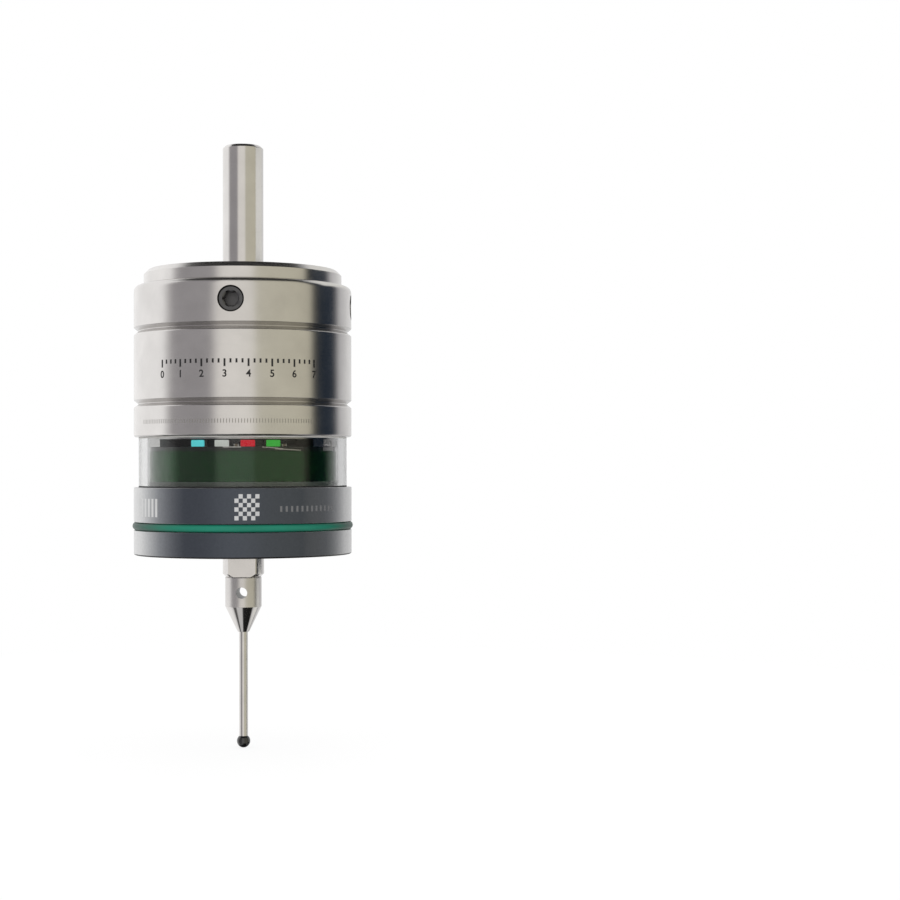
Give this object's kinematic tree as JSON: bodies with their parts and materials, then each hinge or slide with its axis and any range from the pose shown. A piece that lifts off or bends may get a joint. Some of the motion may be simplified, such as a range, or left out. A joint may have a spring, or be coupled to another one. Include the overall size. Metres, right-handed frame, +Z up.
{
  "type": "cnc touch probe",
  "caption": "Wireless touch probe for a machine spindle: round shank, steel body, clear lamp window, dark base and a sprung stylus with a ball tip.",
  "frame": {"origin": "on the shank axis at the upper face of the top plate, where the shank starts", "axes": "+Z up along the shank away from the stylus, -Y towards the lamps"},
  "size_m": [0.0324, 0.0324, 0.089],
  "materials": {
    "ground_steel": "ground",
    "turned_steel": "finely turned and polished",
    "black_oxide": "black oxide",
    "dark_anodised": "dark slate anodised",
    "ring_metal": "turned, with a blackened recess",
    "clear_window": "clear acrylic",
    "gasket_black": "matt",
    "green_seal": "satin",
    "green_housing": "satin dark green",
    "board_green": "solder mask",
    "lamp_cyan": "lit",
    "lamp_white": "lit",
    "lamp_red": "lit",
    "lamp_green": "lit",
    "chip_ceramic": "ceramic",
    "shield_can": "tinned",
    "cell_can": "satin",
    "tray_black": "moulded",
    "seat_insulator": "machined",
    "contact_gold": "gold plated",
    "hard_steel": "lapped",
    "carrier_metal": "machined",
    "spring_steel": "drawn wire",
    "tip_black": "polished ceramic"
  },
  "bodies": {
    "housing": {"shank": "ground_steel", "top_plate": "turned_steel", "flange_screws": "black_oxide", "steel_body": "turned_steel", "set_screws": "black_oxide", "light_ring": "ring_metal", "battery_tray": "tray_black", "battery_lower": "cell_can", "battery_upper": "cell_can", "battery_clip": "spring_steel", "main_board": "board_green", "led_cyan": "lamp_cyan", "led_white": "lamp_white", "led_red": "lamp_red", "led_green": "lamp_green", "board_chips": "chip_ceramic", "radio_module": "shield_can", "lower_gasket": "gasket_black", "window": "clear_window", "upper_gasket": "gasket_black", "sensor_housing": "green_housing", "stack_screws": "black_oxide", "contact_pins": "contact_gold", "base_ring": "dark_anodised", "ring_seal": "green_seal", "bottom_cap": "dark_anodised", "seat_ring": "seat_insulator", "roller_1": "hard_steel", "roller_2": "hard_steel", "roller_3": "hard_steel", "roller_4": "hard_steel", "roller_5": "hard_steel", "roller_6": "hard_steel"},
    "spring_foot": {"spring": "spring_steel"},
    "third_ball": {"ball_3": "hard_steel"},
    "first_ball": {"ball_1": "hard_steel"},
    "stylus": {"ball_2": "hard_steel", "carrier": "carrier_metal", "dust_seal": "gasket_black", "stylus_holder": "turned_steel", "stylus_base": "turned_steel", "stylus_stem": "ground_steel", "stylus_tip": "tip_black"}
  },
  "joints": [
    {"name": "press_in", "type": "slide", "parent": "housing", "child": "spring_foot", "axis": [0, 0, 1], "range_m": [0, 0.0025], "stiffness_N_per_m": 400, "springref_m": -0.004, "deforming": ["spring"]},
    {"name": "tilt_third", "type": "hinge", "parent": "spring_foot", "child": "third_ball", "pos_m": [-0.00368, 0.00213, -0.03611], "axis": [-0.5, -0.866, 0], "range_deg": [0, 7], "stiffness_Nm_per_rad": 0.0072, "springref_deg": -53.86},
    {"name": "tilt_first", "type": "hinge", "parent": "third_ball", "child": "first_ball", "pos_m": [0, -0.00425, -0.03611], "axis": [1, 0, 0], "range_deg": [0, 7], "stiffness_Nm_per_rad": 0.0072, "springref_deg": -53.86},
    {"name": "tilt_second", "type": "hinge", "parent": "first_ball", "child": "stylus", "pos_m": [0.00368, 0.00213, -0.03611], "axis": [-0.5, 0.866, 0], "range_deg": [0, 7], "stiffness_Nm_per_rad": 0.0072, "springref_deg": -53.86}
  ]
}
